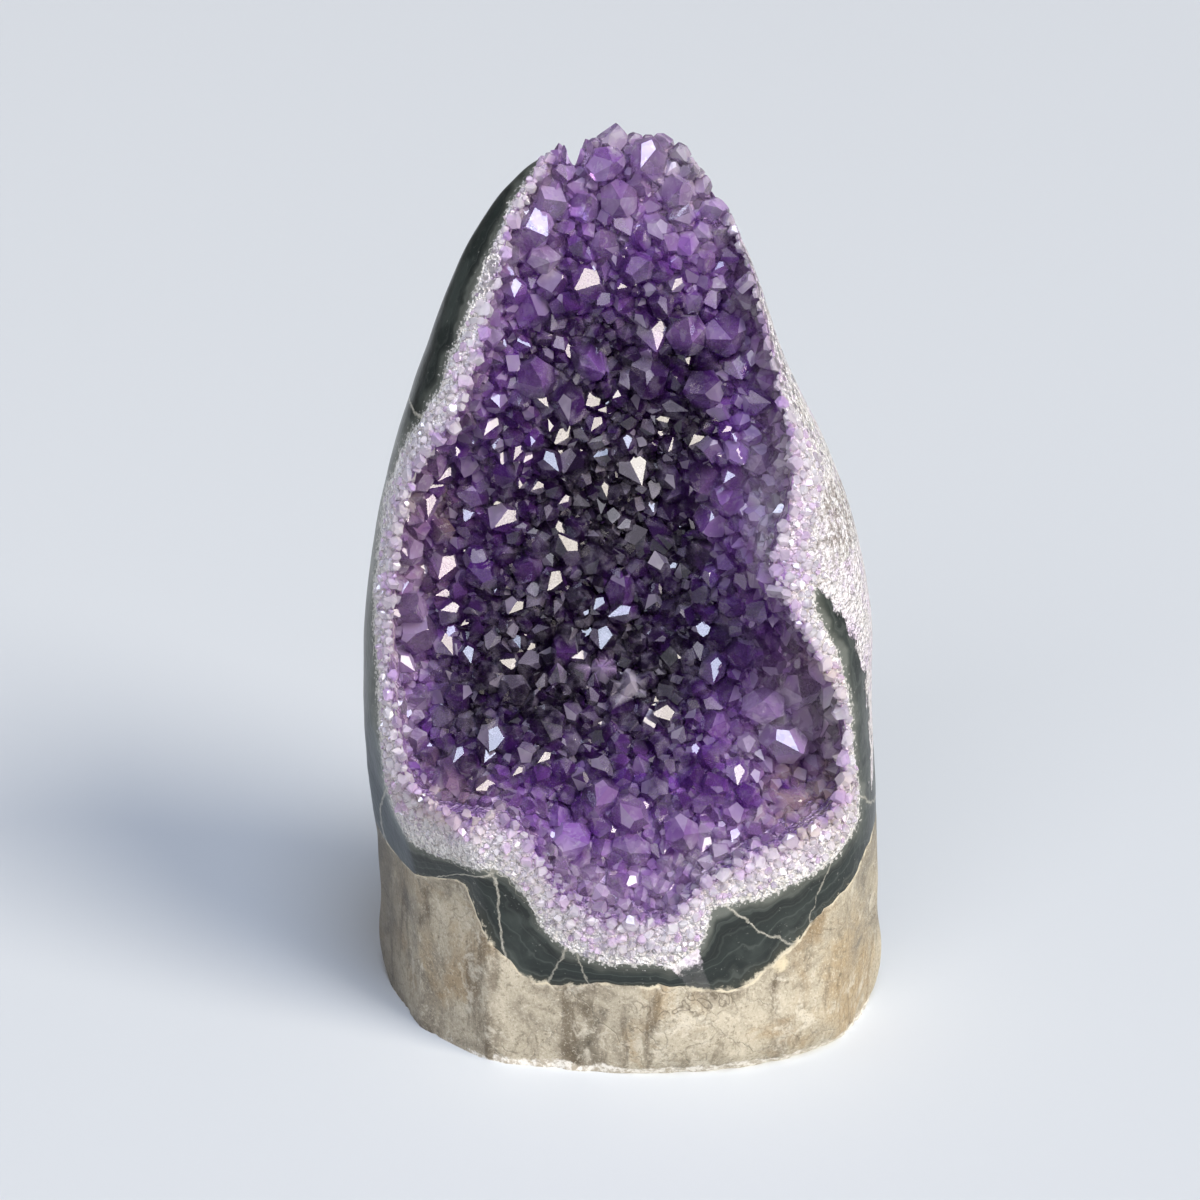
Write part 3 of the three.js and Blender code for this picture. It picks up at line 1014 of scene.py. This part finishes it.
def agateMaterial():
    # polished dark agate with faint bands along the rind, pale healed cracks and a patch that is quartz again
    material, tree, shader = newMaterial("dark agate")
    where = coordinates(tree)
    across = attribute(tree, "across")
    warp = noiseNode(tree, where, 6.0, 3.0)
    fine = noiseNode(tree, where, 0.7, 3.0, 0.65)
    depth = plus(tree, across, shifted(tree, warp, 0.5))
    line = add(tree, "CombineXYZ", {0: times(tree, depth, 5 * unit), 1: 0.0, 2: 0.0})
    bands = noiseNode(tree, line.outputs[0], 0.5, 3.0)
    layers = [
        (0.0, "#5b5f5b"),
        (0.08, "#272d2a"),
        (0.3, "#1d2220"),
        (0.5, "#272e2b"),
        (0.8, "#1f2523"),
        (1.0, "#35372f"),
    ]
    body = ramp(tree, depth, layers)
    body = stain(tree, body, step(tree, bands, 0.48, 0.72), 0.45, "#5f655f")
    patches = step(tree, noiseNode(tree, where, 9.0, 4.0), 0.5, 0.68)
    body = stain(tree, body, patches, 0.5, "#474e49")
    dust = times(tree, step(tree, fine, 0.63, 0.72), step(tree, warp, 0.4, 0.65))
    body = stain(tree, body, dust, 0.55, "#9b9c95")
    upright = stretched(tree, where, (3.0, 1.0, 0.3))
    fibres = step(tree, noiseNode(tree, upright, 2.6, 4.0, 0.6, 0.4), 0.56, 0.68)
    towardsCrust = times(tree, step(tree, depth, 0.35, 0.8), attribute(tree, "fibrous"))
    body = stain(tree, body, fibres, times(tree, towardsCrust, 0.6), "#868a80")
    haze = step(tree, plus(tree, attribute(tree, "fromQuartz"), shifted(tree, warp, 5.0)), 2.6, 0.4)
    body = stain(tree, body, haze, 0.45, "#6d7066")
    # white grains where the agate turns into quartz, thinning out into the dark
    nearQuartz = plus(tree, minus(tree, 0.4, attribute(tree, "fromQuartz")), shifted(tree, fine, 6.0))
    body = stain(tree, body, step(tree, nearQuartz, 0.0, 0.7), 0.85, "#cbc8c2")
    jagged = noiseNode(tree, where, 2.2, 4.0, 0.6)
    wobble = plus(tree, attribute(tree, "fromVein"), shifted(tree, warp, 2.0))
    wobble = maths(tree, "ABSOLUTE", plus(tree, wobble, shifted(tree, jagged, 1.8)))
    edge = minus(tree, plus(tree, wobble, shifted(tree, fine, 1.1)), attribute(tree, "veinWidth"))
    snowDepth = plus(tree, 0.5, shifted(tree, warp, 1.4))
    snowBody, snowHeight = granularQuartz(tree, where, snowDepth)
    wide = step(tree, attribute(tree, "veinWidth"), 0.8, 1.3)
    lowerDown = step(tree, plus(tree, depth, shifted(tree, jagged, 1.6)), 0.2, 0.5)
    healed = mixColors(tree, step(tree, fine, 0.42, 0.6), "#8e8c80", "#c9c5b6")
    healed = mixColors(tree, wide, healed, snowBody)
    shown = minus(tree, 0.88, times(tree, times(tree, wide, lowerDown), 0.83))
    body = stain(tree, body, step(tree, edge, 0.14, -0.25), shown, healed)
    outer = plus(tree, across, shifted(tree, fine, 0.2))
    crust = times(tree, step(tree, outer, 0.93, 1.0), step(tree, warp, 0.44, 0.56))
    body = mixColors(tree, crust, body, "#c3bba4")
    streaky = noiseNode(tree, stretched(tree, where, (1.4, 1.0, 0.6)), 2.4, 4.0)
    snow = plus(tree, attribute(tree, "snow"), shifted(tree, streaky, 2.6))
    snow = plus(tree, snow, shifted(tree, fine, 0.8))
    snowy = step(tree, snow, 0.1, 0.35)
    body = mixColors(tree, snowy, body, snowBody)
    tree.links.new(body, shader.inputs["Base Color"])
    shader.inputs["Roughness"].default_value = 0.28
    shader.inputs["Specular IOR Level"].default_value = 0.32
    polished = times(tree, noiseNode(tree, where, 1.4, 4.0), 0.08)
    height = add(tree, "Mix", {0: snowy, 2: polished, 3: snowHeight}).outputs[0]
    bump(tree, shader, height, 1.1, 1.0)
    return material


def basaltMaterial():
    # weathered basalt, ground and waxed: grey-tan with ochre stains and brown streaks that run down,
    # a chalky sawn edge and painted shade that darkens the far left side
    material, tree, shader = newMaterial("ground basalt")
    where = coordinates(tree)
    clouds = noiseNode(tree, where, 15.0, 6.0, 0.62, 0.7)
    grit = noiseNode(tree, where, 1.1, 4.0, 0.7)
    speckle = noiseNode(tree, where, 0.45, 3.0, 0.7)
    ground = [(0.3, "#585244"), (0.41, "#8b8270"), (0.5, "#aea590"), (0.6, "#bcb39d"), (0.72, "#c9c0ab")]
    body = ramp(tree, plus(tree, clouds, shifted(tree, grit, 0.14)), ground)
    stains = step(tree, noiseNode(tree, where, 20.0, 5.0, 0.6, 0.8), 0.52, 0.68)
    body = stain(tree, body, stains, 0.55, "#95794c")
    ochre = step(tree, plus(tree, attribute(tree, "ochre"), shifted(tree, clouds, 1.6)), 0.4, 0.9)
    body = stain(tree, body, ochre, 0.65, "#a08455")
    runs = noiseNode(tree, stretched(tree, where, (1.0, 1.0, 0.22)), 5.0, 5.0, 0.62, 0.7)
    streaks = step(tree, plus(tree, runs, times(tree, attribute(tree, "streak"), 0.22)), 0.55, 0.7)
    body = stain(tree, body, streaks, 0.62, "#51432f")
    chalk = step(tree, noiseNode(tree, where, 6.5, 6.0, 0.68, 0.5), 0.55, 0.66)
    body = stain(tree, body, chalk, 0.6, "#d3ccb9")
    crackNoise = add(tree, "TexNoise", {"Vector": where, "Scale": 1 / (5 * unit), "Detail": 3.0})
    push = {0: crackNoise.outputs["Color"], 1: (0.5, 0.5, 0.5)}
    centred = add(tree, "VectorMath", push, operation="SUBTRACT")
    moved = add(tree, "VectorMath", {0: centred.outputs[0], 3: 9 * unit}, operation="SCALE")
    warped = add(tree, "VectorMath", {0: where, 1: moved.outputs[0]}, operation="ADD")
    cells = {"Vector": warped.outputs[0], "Scale": 1 / (17 * unit)}
    cracks = add(tree, "TexVoronoi", cells, feature="DISTANCE_TO_EDGE")
    crackLine = step(tree, cracks.outputs["Distance"], 0.022, 0.0)
    shownCrack = times(tree, crackLine, step(tree, clouds, 0.4, 0.56))
    body = stain(tree, body, shownCrack, 0.2, "#4a3f31")
    worms = noiseNode(tree, where, 2.8, 5.0, 0.7, 1.2)
    for pattern, low, high, share, color in (
        (worms, 0.53, 0.64, 0.34, "#5b513e"),
        (worms, 0.45, 0.34, 0.35, "#d9d2bf"),
        (grit, 0.54, 0.68, 0.5, "#5f553f"),
        (speckle, 0.45, 0.32, 0.4, "#e0d9c4"),
        (speckle, 0.56, 0.68, 0.4, "#463d2e"),
    ):
        body = stain(tree, body, step(tree, pattern, low, high), share, color)
    # painted shade darkening the far left side
    body = stain(tree, body, attribute(tree, "leftShade"), 0.65, "#4f4a40")
    patch = plus(tree, attribute(tree, "cream"), shifted(tree, clouds, 1.4))
    patch = plus(tree, patch, shifted(tree, grit, 0.8))
    body = stain(tree, body, step(tree, patch, 0.5, 0.9), 0.8, "#dccfae")
    rings = add(tree, "TexVoronoi", {"Vector": warped.outputs[0], "Scale": 1 / (2.9 * unit)})
    ringAt = rings.outputs["Distance"]
    ring = times(tree, step(tree, ringAt, 0.3, 0.4), step(tree, ringAt, 0.52, 0.42))
    shown = times(tree, step(tree, attribute(tree, "bubbles"), 0.3, 0.9), 0.6)
    body = stain(tree, body, ring, shown, "#4e4231")
    line = plus(tree, attribute(tree, "rind"), shifted(tree, grit, 1.2))
    broken = step(tree, noiseNode(tree, where, 3.0, 3.0), 0.42, 0.58)
    body = stain(tree, body, step(tree, line, 0.7, 0.3), broken, "#cfc5ab")
    foot = plus(tree, attribute(tree, "foot"), shifted(tree, noiseNode(tree, where, 4.0, 5.0, 0.6), 1.5))
    chalky = mixColors(tree, step(tree, grit, 0.42, 0.6), "#f0ece2", "#b5ab98")
    body = stain(tree, body, step(tree, foot, 0.42, 0.6), 0.9, chalky)
    tree.links.new(body, shader.inputs["Base Color"])
    polish = step(tree, clouds, 0.3, 0.7)
    rough = add(tree, "MapRange", {0: polish, 1: 0.0, 2: 1.0, 3: 0.42, 4: 0.6}).outputs[0]
    tree.links.new(rough, shader.inputs["Roughness"])
    shader.inputs["Specular IOR Level"].default_value = 0.35
    height = plus(tree, grit, times(tree, crackLine, -0.6))
    bump(tree, shader, height, 0.2, 0.7)
    return material


def plainMaterial(name, color, roughness):
    material, _, shader = newMaterial(name)
    shader.inputs["Base Color"].default_value = rgba(color)
    shader.inputs["Roughness"].default_value = roughness
    return material


def rimMeasures(mesh):
    co = meshCoords(mesh)
    offset = co[:, [0, 2]] - hollow["centre"]
    angle = np.arctan2(offset[:, 1], offset[:, 0])
    r = np.hypot(*offset.T)
    edges = [edgeRadius(layer, angle) for layer in range(3)]
    return co, np.degrees(angle) % 360, r, edges


def druseLevel(x, z, share):
    # place in the row of tones: near black in the depth as painted shade, violet around it, paler as painted
    # light where the light falls, lilac and white at the rim
    # dark is the painted shade of the deep hollow
    dark = np.minimum(1.1, spots(x, z, druse["shade"]))
    near = np.maximum(0, share - 0.7)
    # the second table of spots adds paleness, partly painted light
    return 1.6 - 1.45 * dark + 1.35 * spots(x, z, druse["paleAndLit"]) + 3 * near + 5 * np.maximum(0, share - 0.87)


def toneAt(level):
    tones = np.array([linear(color) for color in druse["tones"]])
    level = np.clip(level, 0, len(tones) - 1.001)
    k = np.floor(level).astype(int)
    part = (level - k)[..., None]
    return tones[k] * (1 - part) + tones[k + 1] * part


def paintQuartz(mesh):
    co, _, r, (inner, outer, _) = rimMeasures(mesh)
    floor = floorAt(co[:, 0], co[:, 2], r / inner)
    behind = (co[:, 1] - floor) / hollow["quartzDepth"]  # the band seen from the side and the back
    across = np.where(r < inner, behind, (r - inner) / (outer - inner))
    setValues(mesh, "across", np.clip(across, 0, 1))
    setValues(mesh, "inside", np.clip((inner - r) / 3, 0, 1) * np.clip(1.4 - behind, 0, 1))
    # the druse's tones under the crystals, with the painted shade of the depth and the painted light where
    # the light falls
    setColors(mesh, "roots", toneAt(druseLevel(co[:, 0], co[:, 2], r / inner) + 0.45))
    setValues(mesh, "rust", spots(co[:, 0], co[:, 2], hollow["rust"]))


def paintAgate(mesh):
    co, turn, r, (_, inner, outer) = rimMeasures(mesh)
    floor = floorAt(co[:, 0], co[:, 2], r / inner)
    outerFloor = floorAt(co[:, 0], co[:, 2], r / outer)
    thinning = thinningAt(co[:, 2])
    start = floor + hollow["quartzDepth"] * thinning
    end = outerFloor + hollow["agateDepth"] * thinning
    facing = np.clip(-vertexNormals(mesh)[:, 1] * 2.2 - 0.2, 0, 1)  # 1 on the front, 0 on the ground sides
    fromQuartz = np.hypot(np.maximum(r - inner, 0), np.maximum(co[:, 1] - start, 0))
    toBasalt = np.maximum((outer - r) * facing + (end - co[:, 1]) * (1 - facing), 0)
    across = fromQuartz / (fromQuartz + toBasalt + 0.01)
    # signed distance to the nearest vein: the sign turns from vein to vein, so it runs through without a jump
    best = np.full(len(co), 99.0)
    fromVein = np.full(len(co), 99.0)
    width = np.zeros(len(co))
    for k, (at, half, lean) in enumerate(veins):
        away = np.radians((turn - at - lean * (across - 0.5) + 180) % 360 - 180) * r
        nearer = np.abs(away) < best
        best = np.where(nearer, np.abs(away), best)
        fromVein = np.where(nearer, away * (-1) ** k, fromVein)
        width = np.where(nearer, half * (1.25 - 0.4 * across), width)
    setValues(mesh, "across", across)
    setValues(mesh, "fromQuartz", fromQuartz)
    setValues(mesh, "fibrous", np.clip((co[:, 2] - 70) / 25, 0, 1))
    setValues(mesh, "fromVein", fromVein)
    setValues(mesh, "veinWidth", width)
    setValues(mesh, "snow", paleness(co))


def paintBasalt(mesh):
    co, _, r, (_, _, outer) = rimMeasures(mesh)
    x, y, z = co.T
    front = np.clip((4 - y) / 6, 0, 1)
    setValues(mesh, "rind", np.where(front > 0, np.clip((r - outer) / 0.9, 0, 2), 2))
    setValues(mesh, "foot", np.clip(1 - z / 3.2, 0, 1) * np.clip((x + 34) / 14, 0.35, 1))
    # painted shade over the far left side
    setValues(mesh, "leftShade", np.clip((-36 - x) / 9, 0, 1))
    for name, marks in basaltMarks.items():
        setValues(mesh, name, front * spots(x, z, marks))


def paintDruse(mesh, grown):
    # every crystal its own tint, with the painted shade and painted light of its place
    tree = KDTree(len(grown))
    for i, crystal in enumerate(grown):
        tree.insert(crystal["middle"], i)
    tree.balance()
    co = meshCoords(mesh)
    owners = np.empty(len(co), int)
    up = np.empty(len(co))
    for i, place in enumerate(co):
        # the crystal that is nearest for its size
        owners[i] = min(tree.find_n(place, 5), key=lambda found: found[2] / grown[found[1]]["radius"])[1]
        crystal = grown[owners[i]]
        up[i] = (Vector(place) - crystal["root"]).dot(crystal["axis"]) / crystal["tall"]
    up = np.clip(up, 0, 1.2)
    roots = np.array([crystal["root"][:] for crystal in grown])
    share, luck, tone = (np.array([crystal[key] for crystal in grown]) for key in ("share", "luck", "tone"))
    named = np.array([-1 if crystal["shade"] is None else crystal["shade"] for crystal in grown])
    x, z = roots[:, 0], roots[:, 2]
    level = druseLevel(x, z, share) + (luck - 0.5) * 1.3
    level = np.where(share > 1, 4.1 + 4 * (share - 1) + (luck - 0.5) * 1.4, level)
    level = np.where(named >= 0, named, level)
    color = toneAt(level[owners] + (1 - up) * 0.3 * (0.3 + share[owners]))
    grey = color.mean(axis=1, keepdims=True)
    smoky = (tone[owners] > 0.86)[:, None]  # a few are nearly grey
    clearer = (tone[owners] < 0.2)[:, None]  # and a few are a clearer violet
    color = np.where(smoky, color * 0.6 + grey * 0.5, color)
    color = np.where(clearer, color * (1.0, 0.84, 1.15), color)
    rust = np.minimum(0.8, spots(x, z, druse["iron"]) * luck * 1.4)[owners][:, None]
    tint = np.clip(color * (1 - rust) + grey * (1.25, 0.9, 0.72) * rust, 0, 1)
    setColors(mesh, "tint", tint)
    # every natural face its own brightness as painted shade and, on the brightest, a painted reflection,
    # found from the plane it lies in
    centres, normals, _, firstEdge = faceTable(mesh)
    plane = np.round(np.column_stack([normals * 40, np.einsum("ij,ij->i", centres, normals) * 10]))
    faceLightAndShade = np.modf(np.abs(np.sin(plane @ (12.99, 78.23, 37.72, 4.581)) * 43758.5))[0]
    onBand = share[owners[firstEdge[:, 0]]] > 1
    # faces on the quartz band vary less in painted shade
    faceLightAndShade = np.where(onBand, 0.45 + 0.4 * faceLightAndShade, faceLightAndShade)
    layer = mesh.attributes.new("faceLightAndShade", "FLOAT", "FACE")
    layer.data.foreach_set("value", faceLightAndShade.astype(np.float32))
    pale = np.clip((level - 1.8) / 1.6, 0, 1) * np.where(share > 1, 0.25, 0.4) * (0.5 + luck)
    setValues(mesh, "veils", np.clip(pale, 0, 0.75)[owners])


def finishPiece(piece, node, angle):
    # from millimetres to the frame's place and size; edges over the angle in degrees stay sharp
    mesh = piece.data
    mesh.transform(Matrix.Translation(originShift) @ Matrix.Scale(unit, 4))
    mesh.validate()
    mesh.set_sharp_from_angle(angle=math.radians(angle))
    mesh.polygons.foreach_set("use_smooth", [True] * len(mesh.polygons))
    mesh.update()
    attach(piece, "root")
    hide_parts(node)
    mesh.calc_loop_triangles()
    print(piece.name, len(mesh.loop_triangles), "triangles")


print("stone")
body = objectFrom(makeStone(), "wholeStone")
bodyLow = meshCoords(body.data).min(axis=0)
bodyHigh = meshCoords(body.data).max(axis=0)
originShift = Vector((
    (frameLow.x + frameHigh.x) / 2 - unit * (bodyLow[0] + bodyHigh[0]) / 2,
    (frameLow.y + frameHigh.y) / 2 - unit * (bodyLow[1] + bodyHigh[1]) / 2,
    frameLow.z,
))

print("rooms")
agateRoom = objectFrom(makeRoom(agateEdge, hollow["agateDepth"], hollow["rings"][0]), "agateRoom")
quartzRoom = objectFrom(makeRoom(quartzEdge, hollow["quartzDepth"], hollow["rings"][1]), "quartzRoom")
crystalRoom = makeRoom(crystalEdge, 0, hollow["rings"][2], hollow["floorRough"])
crystalRoom = objectFrom(crystalRoom, "crystalRoom")

print("layers")
agate = copyOf(body, "agate")
combine(agate, "INTERSECT", agateRoom)
combine(agate, "DIFFERENCE", quartzRoom)
quartz = copyOf(body, "quartz")
combine(quartz, "INTERSECT", quartzRoom)
combine(quartz, "DIFFERENCE", crystalRoom)
basalt = copyOf(body, "basalt")
combine(basalt, "DIFFERENCE", agateRoom)

print("druse")
seed = bmesh.new()
bmesh.ops.create_cube(seed, size=0.5, matrix=Matrix.Translation((0, hollow["front"] * 0.9, 85)))
points = objectFrom(seed, "amethyst_points")
grown = growDruse(points, crystalRoom, quartz)
cutToGround(points, body)

print("surfaces")
paintDruse(points.data, grown)
paintQuartz(quartz.data)
paintAgate(agate.data)
paintBasalt(basalt.data)
for piece, material in (
    (basalt, basaltMaterial()),
    (agate, agateMaterial()),
    (quartz, quartzMaterial()),
    (points, amethystMaterial()),
):
    piece.data.materials.clear()
    piece.data.materials.append(material)

for extra in (body, agateRoom, quartzRoom, crystalRoom):
    bpy.data.objects.remove(extra)

finishPiece(basalt, "basalt_matrix", 35)
finishPiece(agate, "agate_rind", 35)
finishPiece(quartz, "quartz_band", 35)
finishPiece(points, "amethyst_druse", 3)

print("studio")
floorMesh = bmesh.new()
bmesh.ops.create_grid(floorMesh, x_segments=1, y_segments=1, size=studio["tableReach"])
floor = objectFrom(floorMesh, "floor")
floor.data.materials.append(plainMaterial("pale table", studio["table"], studio["tableRoughness"]))


def sunLight(name, toward, angle, strength, color, mirrorOnly):
    # a soft light that is the same all over the table
    light = bpy.data.lights.new(name, "SUN")
    light.angle = math.radians(angle)
    light.energy = strength
    light.color = linear(color)
    lamp = bpy.data.objects.new(name, light)
    lamp.location = Vector(toward) * 2
    lamp.rotation_euler = Vector(toward).to_track_quat("Z", "Y").to_euler()
    lamp.visible_diffuse = not mirrorOnly
    bpy.context.scene.collection.objects.link(lamp)


for row in lights:
    sunLight(*row)

world = bpy.data.worlds.new("studio")
world.use_nodes = True
air = world.node_tree.nodes["Background"]
air.inputs["Color"].default_value = rgba(studio["air"])
air.inputs["Strength"].default_value = studio["airStrength"]
bpy.context.scene.world = world
bpy.context.scene.view_settings.view_transform = "Standard"
bpy.context.scene.view_settings.look = "None"
bpy.context.scene.view_settings.exposure = studio["exposure"]

camera = bpy.data.cameras.new("camera")
camera.sensor_width = 36
camera.lens = camera.sensor_width / 2 / math.tan(math.radians(viewpoint["fieldOfView"] / 2))
eye = bpy.data.objects.new("camera", camera)
aim = Vector(viewpoint["aim"]) * unit + originShift
eye.location = aim + toCamera * viewpoint["distance"] * unit
eye.rotation_euler = (math.radians(90) - cameraPitch, 0, 0)
bpy.context.scene.collection.objects.link(eye)
bpy.context.scene.camera = eye
